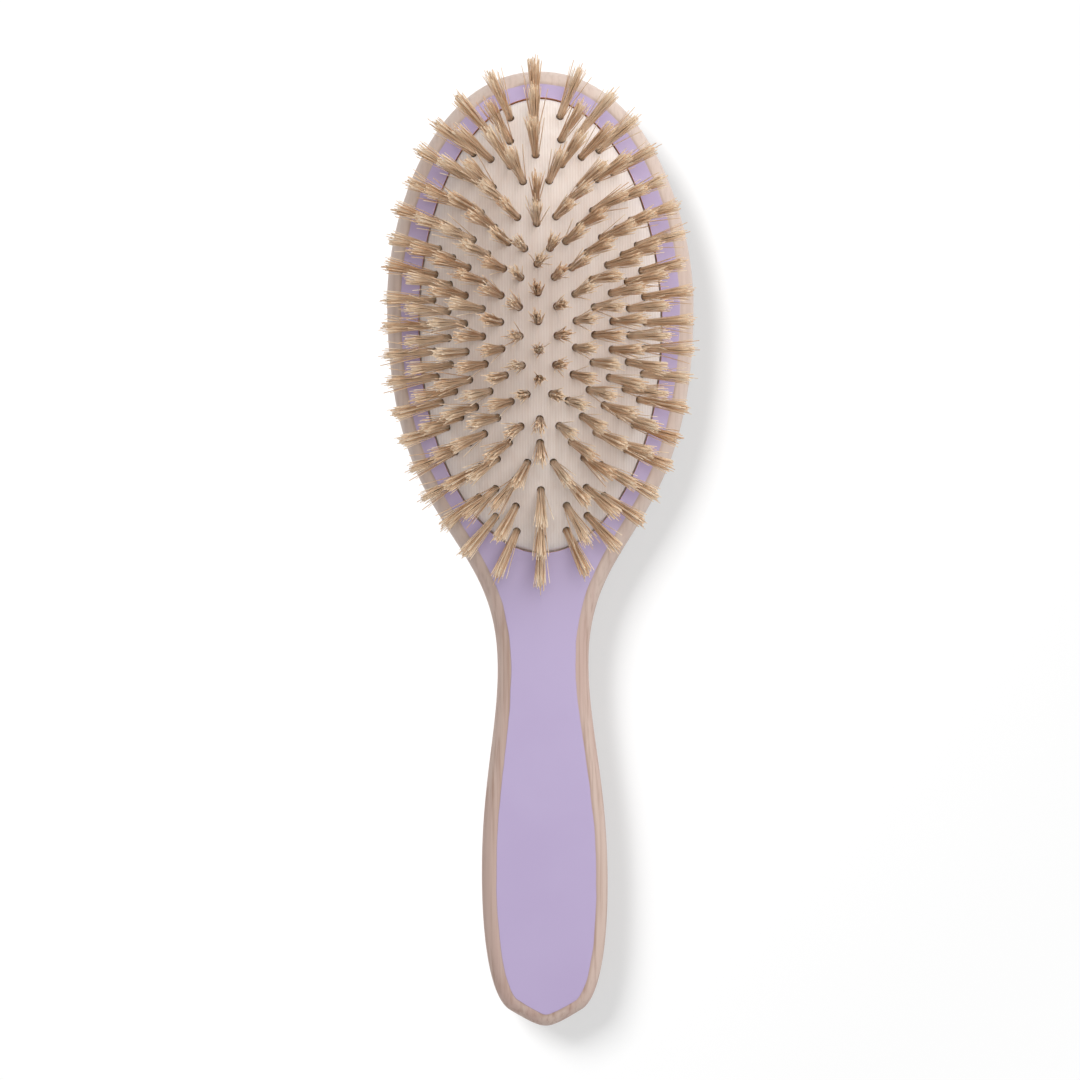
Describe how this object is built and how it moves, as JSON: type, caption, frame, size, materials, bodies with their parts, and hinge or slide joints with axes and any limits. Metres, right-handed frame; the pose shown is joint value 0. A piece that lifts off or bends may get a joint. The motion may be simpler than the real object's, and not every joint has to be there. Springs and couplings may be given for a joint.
{
  "type": "cushion hair brush",
  "caption": "Oval cushion hair brush: wooden head and handle with a lacquered face, rubber air cushion in a pocket, and boar bristle tufts standing square to its crown.",
  "frame": {"origin": "on the flat back of the head, under the middle of the oval pocket", "axes": "+Y along the brush towards the head's tip, +Z out of the back's plane towards the bristles' tips, +X across the head"},
  "size_m": [0.0739, 0.23, 0.0419],
  "materials": {
    "wood": "pale fine-grained wood, satin, with a smooth lilac lacquer on the flat faces",
    "rubber": "cream rubber with fine lengthwise ribs, matt",
    "bristle": "natural boar bristle, beige to light brown, slight sheen"
  },
  "bodies": {
    "handle_and_head": {"wood_body": "wood", "cushion": "rubber"},
    "bristle_pad": {"bristles_centre": "bristle", "bristles_row1_1": "bristle", "bristles_row1_2": "bristle", "bristles_row2_1": "bristle", "bristles_row2_2": "bristle", "bristles_row2_3": "bristle", "bristles_row2_4": "bristle", "bristles_row3_1": "bristle", "bristles_row3_2": "bristle", "bristles_row3_3": "bristle", "bristles_row3_4": "bristle", "bristles_row4_1": "bristle", "bristles_row4_2": "bristle", "bristles_row4_3": "bristle", "bristles_row4_4": "bristle", "bristles_row5_1": "bristle", "bristles_row5_2": "bristle", "bristles_row5_3": "bristle", "bristles_row5_4": "bristle", "bristles_row5_5": "bristle", "bristles_row5_6": "bristle", "bristles_row6_1": "bristle", "bristles_row6_2": "bristle", "bristles_row6_3": "bristle", "bristles_row6_4": "bristle", "bristles_row6_5": "bristle", "bristles_row6_6": "bristle", "bristles_row6_7": "bristle", "bristles_row6_8": "bristle"}
  },
  "joints": [
    {"name": "pad_press", "type": "slide", "parent": "handle_and_head", "child": "bristle_pad", "axis": [0, 0, -1], "range_m": [0, 0.003], "stiffness_N_per_m": 800, "springref_m": -0.0005, "deforming": ["cushion"]}
  ]
}
